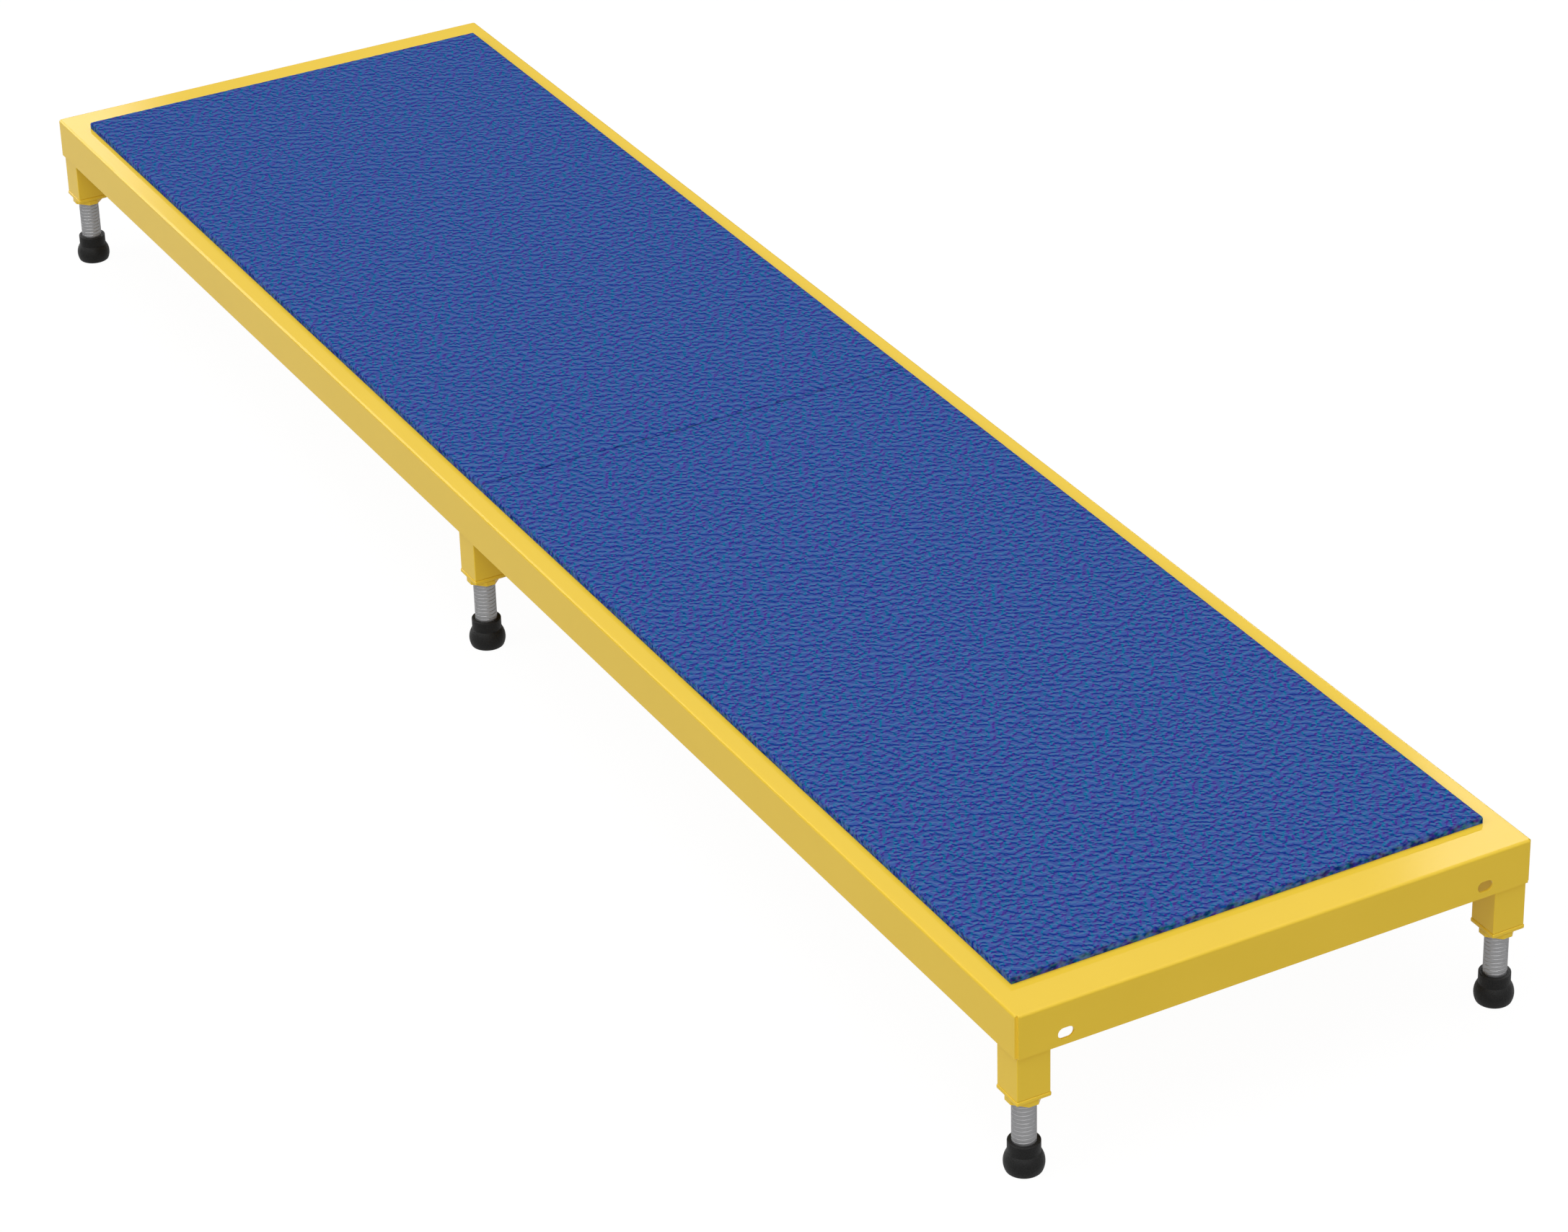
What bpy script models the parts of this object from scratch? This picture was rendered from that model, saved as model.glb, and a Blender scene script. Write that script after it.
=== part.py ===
"""Stage riser platform: a folded sheet-steel deck with two mats, on six screw-adjusted legs.

Metres, +Z up. The origin is the middle of the footprint, on the floor. +X runs from the front end
to the rear end and +Y points to the left side. Every leg is the same stack of pieces: a square tube
under the deck, an end plate, a square nut, a levelling screw and a rubber foot.
"""

import math

import bmesh
import bpy
from mathutils import Matrix

INCH = 0.0254

# Clearances
FIT = 0.0003                     # between two pieces that rest on each other
THREAD_CLEARANCE = 0.0003        # screw crest to nut bore, on the radius
PLATE_BORE_CLEARANCE = 0.0008    # screw crest to end plate bore, on the radius
MAT_BUTT_GAP = 0.0008            # between the two mats

# Deck: one folded pan
DECK_LENGTH = 96.0 * INCH
DECK_WIDTH = 24.0 * INCH
FLANGE_HEIGHT = 2.0 * INCH       # from the deck's top face to the flange's lower edge
SHEET = 0.00266                  # 12 gauge steel
BEND_INSIDE = 0.0003             # inside radius of the folds
SLOT_LENGTH = 0.0183             # end to end, along the end flange
SLOT_HEIGHT = 0.0125
SLOT_FROM_SIDE = 2.23 * INCH     # slot centre to the deck's long side
SLOT_FROM_TOP = 1.47 * INCH      # slot centre to the deck's top face

# Mats
MAT_THICKNESS = 0.375 * INCH
MAT_END_MARGIN = 2.0 * INCH      # bare deck at each end
MAT_SIDE_MARGIN = 1.0 * INCH     # bare deck at each long side
MAT_EDGE_RADIUS = 0.0040

# Hat-section stiffeners across the underside
STIFFENER_SHEET = 0.0019
STIFFENER_WEB = 1.5 * INCH
STIFFENER_DEPTH = 1.25 * INCH
STIFFENER_LIP = 0.75 * INCH
STIFFENER_BEND_INSIDE = 0.0015
STIFFENER_SPACING = 24.0 * INCH

# Leg tube
TUBE_SIZE = 1.5 * INCH
TUBE_WALL = 0.120 * INCH
TUBE_CORNER_RADIUS = 0.0010
TUBE_LENGTH = 0.0995

# End plate
PLATE_THICKNESS = 0.1875 * INCH
PLATE_LIP = 0.0009               # the plate stands proud of the tube by this much all round
PLATE_EDGE_RADIUS = 0.0014

# Square nut with clipped corners
NUT_WIDTH = 1.5 * INCH
NUT_HEIGHT = 0.0056
NUT_CORNER_CUT = 0.0136

# Levelling screw and its travel
SCREW_DIAMETER = 1.0 * INCH
SCREW_END_CHAMFER = 0.0015
RETRACT_TRAVEL = 1.875 * INCH    # how far the foot can rise from the modelled height
EXTEND_TRAVEL = 1.25 * INCH      # how far the foot can drop from the modelled height
STOP_GAP = 0.0029                # left between foot and nut when fully raised
THREAD_RESERVE = 0.5 * INCH      # screw left above the end plate when fully dropped

# Rubber foot
FOOT_BULB_RADIUS = 0.83 * INCH
FOOT_BULB_CENTRE = 0.0094        # height of the bulb's centre above the floor
FOOT_COLLAR_RADIUS = 0.67 * INCH
FOOT_COLLAR_RISE = 0.0255        # collar top above the bulb's centre
FOOT_COLLAR_ROUNDING = 0.0010
FOOT_SOLE_ROUNDING = 0.0010
SOCKET_DEPTH = 0.0220

# Facets
BEND_STEPS = 4
FOOT_STEPS = 32
BORE_STEPS = 32

# Derived sizes
SCREW_RADIUS = SCREW_DIAMETER / 2
BEND_OUTSIDE = BEND_INSIDE + SHEET
# A square corner laid into a fold clears the fold's inside radius by this extra gap.
FOLD_GAP = FIT + (1 - 1 / math.sqrt(2)) * BEND_INSIDE
PLATE_SIZE = TUBE_SIZE + 2 * PLATE_LIP
THREAD_SHOWING = RETRACT_TRAVEL + STOP_GAP
MAT_WIDTH = DECK_WIDTH - 2 * MAT_SIDE_MARGIN
MAT_LENGTH = (DECK_LENGTH - 2 * MAT_END_MARGIN - MAT_BUTT_GAP) / 2

# Heights above the floor, from the foot up
FOOT_TOP = FOOT_BULB_CENTRE + FOOT_COLLAR_RISE
SOCKET_FLOOR = FOOT_TOP - SOCKET_DEPTH
NUT_BOTTOM = FOOT_TOP + THREAD_SHOWING
PLATE_BOTTOM = NUT_BOTTOM + NUT_HEIGHT + FIT
TUBE_BOTTOM = PLATE_BOTTOM + PLATE_THICKNESS + FIT
DECK_UNDERSIDE = TUBE_BOTTOM + TUBE_LENGTH + FOLD_GAP
DECK_TOP = DECK_UNDERSIDE + SHEET
SCREW_BOTTOM = SOCKET_FLOOR + FIT
SCREW_TOP = TUBE_BOTTOM - FIT + THREAD_RESERVE + EXTEND_TRAVEL

# Leg places: the corner tubes sit in the folds, the middle pair half way along
LEG_INSET = SHEET + FOLD_GAP + TUBE_SIZE / 2
LEG_X = {"front": LEG_INSET - DECK_LENGTH / 2, "middle": 0.0, "rear": DECK_LENGTH / 2 - LEG_INSET}
LEG_Y = {"left": DECK_WIDTH / 2 - LEG_INSET, "right": LEG_INSET - DECK_WIDTH / 2}


# ---------------------------------------------------------------- scene, materials, small helpers

def clear_scene():
    for item in list(bpy.data.objects):
        bpy.data.objects.remove(item, do_unlink=True)


def new_collection(name):
    collection = bpy.data.collections.new(name)
    bpy.context.scene.collection.children.link(collection)
    return collection


def finish(name, colour, roughness, metallic):
    """A Principled material; colour is linear RGB."""
    material = bpy.data.materials.new(name)
    material.use_nodes = True
    shader = material.node_tree.nodes["Principled BSDF"]
    shader.inputs["Base Color"].default_value = (*colour, 1.0)
    shader.inputs["Roughness"].default_value = roughness
    shader.inputs["Metallic"].default_value = metallic
    return material


def add_object(name, form, collection, material=None):
    """Turn a bmesh into a named object and link it."""
    mesh = bpy.data.meshes.new(name)
    form.to_mesh(mesh)
    form.free()
    if material:
        mesh.materials.append(material)
    item = bpy.data.objects.new(name, mesh)
    collection.objects.link(item)
    return item


def block(size):
    """A box of the given size, centred on the origin."""
    form = bmesh.new()
    bmesh.ops.create_cube(form, size=1.0)
    bmesh.ops.scale(form, verts=form.verts, vec=size)
    return form


def cylinder(radius, depth, steps):
    """A capped cylinder along Z, centred on the origin."""
    form = bmesh.new()
    bmesh.ops.create_cone(form, cap_ends=True, segments=steps, radius1=radius, radius2=radius, depth=depth)
    return form


def vertical_edges(form):
    return [edge for edge in form.edges if abs(edge.verts[0].co.z - edge.verts[1].co.z) > FIT]


def level_edges(form, height):
    """Edges that lie in the horizontal plane at a height."""
    return [edge for edge in form.edges if all(abs(vert.co.z - height) < 1e-6 for vert in edge.verts)]


def round_edges(form, edges, radius, steps):
    bmesh.ops.bevel(form, geom=edges, offset=radius, segments=steps, profile=0.5, affect="EDGES")


def thicken(item, thickness, offset):
    """Give an open surface its wall: offset -1 puts it behind the surface, 0 on both sides."""
    solidify = item.modifiers.new("wall", "SOLIDIFY")
    solidify.thickness = thickness
    solidify.offset = offset
    solidify.use_even_offset = True


def cut(item, cutter):
    boolean = item.modifiers.new("cut_" + cutter.name, "BOOLEAN")
    boolean.operation = "DIFFERENCE"
    boolean.solver = "EXACT"
    boolean.object = cutter


def smooth(item, angle=40):
    item.data.shade_smooth()
    item.data.set_sharp_from_angle(angle=math.radians(angle))


def arc(centre, radius, start, end, steps):
    """Points on an arc in the XZ plane; angles in degrees from +X towards +Z."""
    angles = [math.radians(start + (end - start) * step / steps) for step in range(steps + 1)]
    return [(centre[0] + radius * math.cos(a), centre[1] + radius * math.sin(a)) for a in angles]


# ---------------------------------------------------------------- deck, mats, stiffeners

def fold_down(form, edge, outward):
    """Carry one edge of the deck's top face round the bend and down to the flange's lower edge."""
    turns = [math.radians(90 * step / BEND_STEPS) for step in range(BEND_STEPS + 1)]
    path = [(BEND_OUTSIDE * math.sin(turn), BEND_OUTSIDE * (math.cos(turn) - 1)) for turn in turns]
    path.append((BEND_OUTSIDE, -FLANGE_HEIGHT))
    for (out, up), (next_out, next_up) in zip(path, path[1:]):
        made = bmesh.ops.extrude_edge_only(form, edges=[edge])["geom"]
        verts = [part for part in made if isinstance(part, bmesh.types.BMVert)]
        edges = [part for part in made if isinstance(part, bmesh.types.BMEdge)]
        shift = outward * (next_out - out)
        bmesh.ops.translate(form, verts=verts, vec=(shift.x, shift.y, next_up - up))
        edge = next(candidate for candidate in edges if set(candidate.verts) == set(verts))


def pan_surface():
    """Outer face of the pan. The sides fold down separately, so each corner keeps a square notch."""
    form = bmesh.new()
    bmesh.ops.create_grid(form, x_segments=1, y_segments=1, size=1.0)
    flat = (DECK_LENGTH / 2 - BEND_OUTSIDE, DECK_WIDTH / 2 - BEND_OUTSIDE, 1)
    bmesh.ops.scale(form, verts=form.verts, vec=flat)
    for edge in list(form.edges):
        middle = (edge.verts[0].co + edge.verts[1].co) / 2
        fold_down(form, edge, middle.normalized())
    bmesh.ops.recalc_face_normals(form, faces=form.faces)
    top = max(form.faces, key=lambda face: face.calc_area())
    if top.normal.z < 0:
        bmesh.ops.reverse_faces(form, faces=form.faces)
    return form


def slot_cutter(name, x, y, collection):
    """A round-ended bar along X: a cylinder whose two halves are drawn apart along Y."""
    form = cylinder(SLOT_HEIGHT / 2, 4 * SHEET, BORE_STEPS)
    bmesh.ops.rotate(form, verts=form.verts, matrix=Matrix.Rotation(math.pi / 2, 3, "Y"))
    bmesh.ops.rotate(form, verts=form.verts, matrix=Matrix.Rotation(math.pi / BORE_STEPS, 3, "X"))
    for vert in form.verts:
        vert.co.y += math.copysign((SLOT_LENGTH - SLOT_HEIGHT) / 2, vert.co.y)
    cutter = add_object(name, form, collection)
    cutter.location = (x, y, DECK_TOP - SLOT_FROM_TOP)
    hide_cutter(cutter)
    return cutter


def hide_cutter(cutter):
    cutter.hide_render = True
    cutter.display_type = "WIRE"


def deck_pan(parts, cutters, paint):
    pan = add_object("deck_pan", pan_surface(), parts, paint)
    pan.location.z = DECK_TOP
    thicken(pan, SHEET, -1)
    slot_x = DECK_LENGTH / 2 - SHEET / 2
    slot_y = DECK_WIDTH / 2 - SLOT_FROM_SIDE
    for end, side_x in (("front", -1), ("rear", 1)):
        for side, side_y in (("left", 1), ("right", -1)):
            name = f"{end}_{side}_slot_cutter"
            cut(pan, slot_cutter(name, side_x * slot_x, side_y * slot_y, cutters))
    return pan


def mat(name, toward, parts, rubber):
    """One mat; toward is -1 for the front half and 1 for the rear half."""
    form = block((MAT_LENGTH, MAT_WIDTH, MAT_THICKNESS))
    top = level_edges(form, MAT_THICKNESS / 2)
    butt_x = -toward * MAT_LENGTH / 2
    outer = [edge for edge in top if any(abs(vert.co.x - butt_x) > FIT for vert in edge.verts)]
    round_edges(form, outer, MAT_EDGE_RADIUS, 4)
    item = add_object(name, form, parts, rubber)
    item.location = (toward * (MAT_LENGTH + MAT_BUTT_GAP) / 2, 0, DECK_TOP + FIT + MAT_THICKNESS / 2)
    return item


def stiffener(name, x, length, parts, paint):
    """A hat section across the deck, its lips against the underside; its middle plane is swept."""
    half_web = (STIFFENER_WEB - STIFFENER_SHEET) / 2
    lip_end = half_web + STIFFENER_LIP
    drop = STIFFENER_DEPTH - STIFFENER_SHEET
    left_half = [(-lip_end, 0), (-half_web, 0), (-half_web, -drop)]
    outline = left_half + [(-across, up) for across, up in reversed(left_half)]
    form = bmesh.new()
    verts = [form.verts.new((across, -length / 2, up)) for across, up in outline]
    edges = [form.edges.new(pair) for pair in zip(verts, verts[1:])]
    swept = bmesh.ops.extrude_edge_only(form, edges=edges)
    far = [part for part in swept["geom"] if isinstance(part, bmesh.types.BMVert)]
    bmesh.ops.translate(form, verts=far, vec=(0, length, 0))
    bends = [edge for edge in form.edges if len(edge.link_faces) == 2]
    round_edges(form, bends, STIFFENER_BEND_INSIDE + STIFFENER_SHEET / 2, 3)
    item = add_object(name, form, parts, paint)
    item.location = (x, 0, DECK_UNDERSIDE - FIT - STIFFENER_SHEET / 2)
    thicken(item, STIFFENER_SHEET, 0)
    return item


# ---------------------------------------------------------------- leg pieces, each about its own axis

def leg_tube(paint, parts, name, cutter):
    form = block((TUBE_SIZE, TUBE_SIZE, TUBE_LENGTH))
    round_edges(form, vertical_edges(form), TUBE_CORNER_RADIUS, 3)
    item = add_object(name, form, parts, paint)
    item.location.z = TUBE_BOTTOM + TUBE_LENGTH / 2
    cut(item, cutter)
    return item


def hollow_cutter(name, collection):
    """The square inside of a leg tube, standing out past both of its ends."""
    across = TUBE_SIZE - 2 * TUBE_WALL
    cutter = add_object(name, block((across, across, 2 * TUBE_LENGTH)), collection)
    hide_cutter(cutter)
    return cutter


def bore_cutter(name, radius, height, collection):
    """A shaft through one piece, standing out past both of its faces."""
    cutter = add_object(name, cylinder(radius, 3 * height, BORE_STEPS), collection)
    hide_cutter(cutter)
    return cutter


def end_plate(paint, parts, name, cutter):
    form = block((PLATE_SIZE, PLATE_SIZE, PLATE_THICKNESS))
    round_edges(form, vertical_edges(form), TUBE_CORNER_RADIUS + PLATE_LIP, 4)
    rims = level_edges(form, PLATE_THICKNESS / 2) + level_edges(form, -PLATE_THICKNESS / 2)
    round_edges(form, rims, PLATE_EDGE_RADIUS, 2)
    item = add_object(name, form, parts, paint)
    item.location.z = PLATE_BOTTOM + PLATE_THICKNESS / 2
    cut(item, cutter)
    return item


def square_nut(paint, parts, name, cutter):
    form = block((NUT_WIDTH, NUT_WIDTH, NUT_HEIGHT))
    round_edges(form, vertical_edges(form), NUT_CORNER_CUT, 1)
    item = add_object(name, form, parts, paint)
    item.location.z = NUT_BOTTOM + NUT_HEIGHT / 2
    cut(item, cutter)
    return item


def levelling_screw(steel, parts, name):
    length = SCREW_TOP - SCREW_BOTTOM
    form = cylinder(SCREW_RADIUS, length, BORE_STEPS)
    rims = level_edges(form, length / 2) + level_edges(form, -length / 2)
    round_edges(form, rims, SCREW_END_CHAMFER, 1)
    item = add_object(name, form, parts, steel)
    item.location.z = (SCREW_TOP + SCREW_BOTTOM) / 2
    smooth(item)
    return item


def foot_profile():
    """Half section of the foot: up the socket, over the collar's rim and down the outer side."""
    socket_radius = SCREW_RADIUS + THREAD_CLEARANCE
    to_rounding = FOOT_BULB_RADIUS - FOOT_SOLE_ROUNDING
    sole_angle = math.degrees(math.asin((FOOT_SOLE_ROUNDING - FOOT_BULB_CENTRE) / to_rounding))
    sole_reach = to_rounding * math.cos(math.radians(sole_angle))
    neck_angle = math.degrees(math.acos(FOOT_COLLAR_RADIUS / FOOT_BULB_RADIUS))
    rim_centre = (FOOT_COLLAR_RADIUS - FOOT_COLLAR_ROUNDING, FOOT_TOP - FOOT_COLLAR_ROUNDING)
    points = [(0, SOCKET_FLOOR), (socket_radius, SOCKET_FLOOR), (socket_radius, FOOT_TOP)]
    points += arc(rim_centre, FOOT_COLLAR_ROUNDING, 90, 0, 2)
    points += arc((0, FOOT_BULB_CENTRE), FOOT_BULB_RADIUS, neck_angle, sole_angle, 8)
    points += arc((sole_reach, FOOT_SOLE_ROUNDING), FOOT_SOLE_ROUNDING, sole_angle, -90, 2)[1:]
    points += [(0, 0)]
    return points


def rubber_foot(rubber, parts, name):
    form = bmesh.new()
    verts = [form.verts.new((reach, 0, up)) for reach, up in foot_profile()]
    for pair in zip(verts, verts[1:]):
        form.edges.new(pair)
    item = add_object(name, form, parts, rubber)
    screw = item.modifiers.new("turned", "SCREW")
    screw.steps = FOOT_STEPS
    screw.render_steps = FOOT_STEPS
    screw.use_merge_vertices = True
    screw.merge_threshold = 0.00001
    screw.use_smooth_shade = True
    return item


def leg(place, x, y, parts, cutters, finishes):
    """The whole leg hangs on an empty on its screw's axis, at floor level."""
    axis = bpy.data.objects.new(place + "_axis", None)
    axis.location = (x, y, 0)
    parts.objects.link(axis)
    hollow = hollow_cutter(place + "_tube_cutter", cutters)
    hollow.location.z = TUBE_BOTTOM + TUBE_LENGTH / 2
    plate_radius = SCREW_RADIUS + PLATE_BORE_CLEARANCE
    nut_radius = SCREW_RADIUS + THREAD_CLEARANCE
    plate_bore = bore_cutter(place + "_plate_cutter", plate_radius, PLATE_THICKNESS, cutters)
    plate_bore.location.z = PLATE_BOTTOM + PLATE_THICKNESS / 2
    nut_bore = bore_cutter(place + "_nut_cutter", nut_radius, NUT_HEIGHT, cutters)
    nut_bore.location.z = NUT_BOTTOM + NUT_HEIGHT / 2
    paint = finishes["paint"]
    pieces = [
        leg_tube(paint, parts, place + "_leg_tube", hollow),
        end_plate(paint, parts, place + "_end_plate", plate_bore),
        square_nut(paint, parts, place + "_nut", nut_bore),
        levelling_screw(finishes["steel"], parts, place + "_levelling_screw"),
        rubber_foot(finishes["rubber"], parts, place + "_rubber_foot"),
    ]
    for piece in pieces + [hollow, plate_bore, nut_bore]:
        piece.parent = axis


# ---------------------------------------------------------------- assembly

def build():
    clear_scene()
    parts = new_collection("stage_riser_platform")
    cutters = new_collection("cutters")
    finishes = {
        "paint": finish("yellow_powder_coat", (0.93, 0.62, 0.07), 0.35, 0.0),
        "mat": finish("blue_mat", (0.055, 0.105, 0.40), 0.75, 0.0),
        "steel": finish("zinc_plated_steel", (0.40, 0.40, 0.41), 0.35, 0.9),
        "rubber": finish("black_rubber", (0.02, 0.02, 0.02), 0.55, 0.0),
    }
    deck_pan(parts, cutters, finishes["paint"])
    mat("front_mat", -1, parts, finishes["mat"])
    mat("rear_mat", 1, parts, finishes["mat"])
    between_flanges = DECK_WIDTH - 2 * (SHEET + FIT)
    between_tubes = 2 * LEG_Y["left"] - TUBE_SIZE - 2 * FIT
    stiffener("front_stiffener", -STIFFENER_SPACING, between_flanges, parts, finishes["paint"])
    stiffener("middle_stiffener", 0.0, between_tubes, parts, finishes["paint"])
    stiffener("rear_stiffener", STIFFENER_SPACING, between_flanges, parts, finishes["paint"])
    for row, x in LEG_X.items():
        for side, y in LEG_Y.items():
            leg(f"{row}_{side}", x, y, parts, cutters, finishes)


build()
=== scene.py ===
"""Looks of the stage riser platform: powder-coated folded deck, two pebbled mats, six screw-adjusted legs.

Metres, +Z up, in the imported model's own frame. Places come from the frame; sizes that the frame doesn't
give are the named values below. Rods, mats and weld beads are grown by node trees built here. Colours are
linear.
"""

import math

import bmesh
import bpy
from mathutils import Matrix, Vector


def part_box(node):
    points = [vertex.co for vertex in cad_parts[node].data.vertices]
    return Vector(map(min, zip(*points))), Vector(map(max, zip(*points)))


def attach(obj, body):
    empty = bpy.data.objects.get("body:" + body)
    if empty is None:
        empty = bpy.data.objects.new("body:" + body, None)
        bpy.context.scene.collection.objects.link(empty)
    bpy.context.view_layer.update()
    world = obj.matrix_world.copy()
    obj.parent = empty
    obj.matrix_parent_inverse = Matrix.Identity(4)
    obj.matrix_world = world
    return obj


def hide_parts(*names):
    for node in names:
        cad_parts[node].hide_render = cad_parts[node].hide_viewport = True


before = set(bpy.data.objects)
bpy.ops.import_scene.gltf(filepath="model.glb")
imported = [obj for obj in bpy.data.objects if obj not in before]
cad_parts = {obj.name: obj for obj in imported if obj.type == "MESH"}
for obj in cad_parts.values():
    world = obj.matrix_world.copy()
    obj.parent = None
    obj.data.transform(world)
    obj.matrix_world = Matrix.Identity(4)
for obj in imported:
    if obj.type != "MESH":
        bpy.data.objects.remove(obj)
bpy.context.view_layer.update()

# Deck sheet
SHEET = 0.00266
BEND_INSIDE = 0.0003
BEND_OUTSIDE = BEND_INSIDE + SHEET
BEND_STEPS = 12
SLOT_LENGTH = 0.0183
SLOT_HEIGHT = 0.0125
SLOT_STEPS = 48                  # points round a slot's two ends together
SLOT_FROM_SIDE = 0.05664
SLOT_FROM_TOP = 0.03734
COAT_ROUNDING = 0.00035          # how far the paint rounds a sheared edge
ROUNDING_STEPS = 2
ROUNDING_ANGLE = 40              # edges sharper than this are rounded, in degrees

# Legs
TUBE_WALL = 0.00305
TUBE_CORNER = 0.0010
TUBE_BORE_CORNER = 0.0008
TUBE_EDGE = 0.0003
CORNER_STEPS = 8                 # points round one corner of a tube or plate
PLATE_CORNER = 0.0019
PLATE_EDGE = 0.0014
PLATE_EDGE_STEPS = 4
PLATE_CLEARANCE = 0.0008         # between the plate's bore and the rod
NUT_CORNER_CUT = 0.0136
NUT_EDGE = 0.0005
ROUND_STEPS = 72                 # points round a bore or a foot

# Threaded rods
SCREW_RADIUS = 0.0127
THREAD_PITCH = 0.0047
THREAD_DEPTH = 0.00026
THREAD_CHAMFER = 0.0015
THREAD_CLEARANCE = 0.0003        # between the rod and what it turns in
THREAD_STEPS = 56                # points round the rod
THREAD_ROWS = 8                  # profile points in one pitch
CREST_ROWS = 2                   # how many of those are on the flat crest
CREST_SHARE = 0.80               # share of a pitch that the flat crest takes
SPARE_TURNS = 3                  # turns beyond the rod's length, which its ends swallow
TURNS_BELOW = 2                  # how many of those lie below its foot end
ROW_NUDGE = 0.001                # keeps a row from falling to the pitch before it by rounding
THREAD_MERGE = 0.000002          # closes the rod along its length and at its ends
ROD_SMOOTH = 12

# Rubber foot
FOOT_BULB_RADIUS = 0.02108
FOOT_BULB_CENTRE = 0.0094
FOOT_BULB_STEPS = 28
FOOT_COLLAR_RADIUS = 0.01702
FOOT_COLLAR_ROUNDING = 0.0010
FOOT_COLLAR_STEPS = 5
FOOT_SOLE_ROUNDING = 0.0010
FOOT_SOLE_STEPS = 4
SOCKET_ROUNDING = 0.0004
SOCKET_STEPS = 3
FOOT_SMOOTH = 30

# Stiffeners
STIFFENER_SHEET = 0.0019
STIFFENER_WEB = 0.0381
STIFFENER_LIP = 0.01905
STIFFENER_BEND = 0.0015 + STIFFENER_SHEET / 2
STIFFENER_BEND_STEPS = 6

# Mats
MAT_EDGE_RADIUS = 0.0040
MAT_STEP = 0.0026                # spacing of the mat's mesh
MAT_RIM_STEPS = 5
MAT_SMOOTH = 50
GRAIN_CELL = 0.0070              # width of one wave of the grain
GRAIN_DETAIL = 1.0
GRAIN_FINENESS = 0.4             # how strong the finer waves are beside the main ones
GRAIN_STRETCH = 1.05             # how much longer the waves are one way than the other
GRAIN_TURN = 62.0                # which way that is, in degrees from +X towards +Y
CREASE_SHARE = 0.125             # how far off a wave's middle height its wall reaches
GRAIN_DEPTH = 0.00030
GRAIN_FEEL = 0.0006              # distance over which the material measures a wall's slope
GRAIN_SLOPE = 0.0058             # a crease wall that rises by 1 in this length is fully coloured
GRAIN_PATCH = 0.016              # size of the patches that are more or less deeply creased
PATCH_DETAIL = 1.0
PATCH_GAIN = (0.65, 1.35)        # how deeply the shallowest and the deepest patch are creased
NOISE_SPAN = (0.35, 0.65)        # what a noise value mostly stays between
LOW_SHADE = 0.92                 # painted shade in the grain's hollows: how bright its low flats are beside its high ones
STEEP = 1.2                      # the steepest slope that a crease wall reaches
STEEP_WALL_SHADE = 0.9                 # painted shade on steep walls: how much of its blue such a wall keeps
MAT_ROUGHNESS = (0.85, 0.65)     # on the low flats and on the high ones
MAT_BUMP = 0.3
GRAIN_SHADING_TINTS = (                  # painted shading of the grain's walls by the way they face; red, green, blue: share of the slope in X, in Y; colour down, level, up
    (0.26, -0.97, 0.008, 0.053, 0.080),
    (1.0, 0.0, 0.033, 0.105, 0.173),
    (0.88, -0.47, 0.285, 0.370, 0.445),
)
SIDE_TINTS = ((0.004, 0.083), (0.027, 0.180), (0.21, 0.60))   # darkest and palest red, green, blue
SIDE_TILT = (0.35, 0.65)         # upward share of the normal where the side ends and the top begins
BLOTCH = 0.0042                  # size of the mottling on the mat's cut sides
BLOTCH_DETAIL = 1.0
BLOTCH_SHORTEN = 0.6             # the mottling is longer across the platform
BLOTCH_SPAN = (0.80, 1.20)       # what the sum of two noise values mostly stays between
JOIN_REACH = 0.0021              # how far the line where the mats meet shows on either side
JOIN_PATCH = 0.030               # size of the patches in which it shows
JOIN_SPAN = (0.44, 0.55)         # noise values at which it starts to show and shows fully
JOIN_SHADE = 0.63                # painted shade of the gap between the mats: how bright the line where they meet is beside the rest of the mat

# Weld beads
WELD_RADIUS = 0.0022
WELD_RIPPLE = 0.0016
WELD_SWELL = 0.16
WELD_STANDING = 0.35             # share of the radius between the deck's underside and a bead's middle
WELD_OUT = 0.3                   # the same off the welded piece's side
RIPPLE_STEP = 0.25               # share of a ripple between two sections of a bead
BEAD_SIDES = 8
BEAD_SMOOTH = 60
CORNER_SEAM_RADIUS = 0.00075
STITCH_LENGTH = 0.030
STITCHES = 4

# Finishes
TONE_SPAN = (0.3, 0.7)           # noise values between which a finish goes from its first tone to its last
PAINT_TONES = ((0.90, 0.616, 0.050), (0.92, 0.630, 0.054))
PAINT_CLOUD = 0.12
CLOUD_DETAIL = 3.0
PAINT_RIPPLE = 0.02
PAINT_ROUGHNESS = (0.055, 0.075)
PAINT_GLOSS = 0.085
STEEL_TONES = ((0.25, 0.25, 0.255), (0.31, 0.31, 0.315))
STEEL_BRUSHING = 0.004
BRUSHING_DETAIL = 3.0
STEEL_STRETCH = 9                # how much longer the brushing is round the rod than along it
STEEL_ROUGHNESS = (0.42, 0.52)
STEEL_METAL = 0.9
STEEL_GRAZING = 0.55             # how much of its reflection is left at a grazing angle
STEEL_SCRATCH = 0.00003
STEEL_BUMP = 0.5
RUBBER_TONES = ((0.007, 0.007, 0.007), (0.019, 0.019, 0.019))
RUBBER_SPAN = (0.35, 0.75)
RUBBER_SPECK = 0.0011
SPECK_DETAIL = 2.0
SPECK_FINENESS = 0.6
RUBBER_ROUGHNESS = (0.62, 0.50)
RUBBER_GLOSS = 0.12
RUBBER_PEBBLE = 0.0003           # height of the rubber's pebbles

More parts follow.
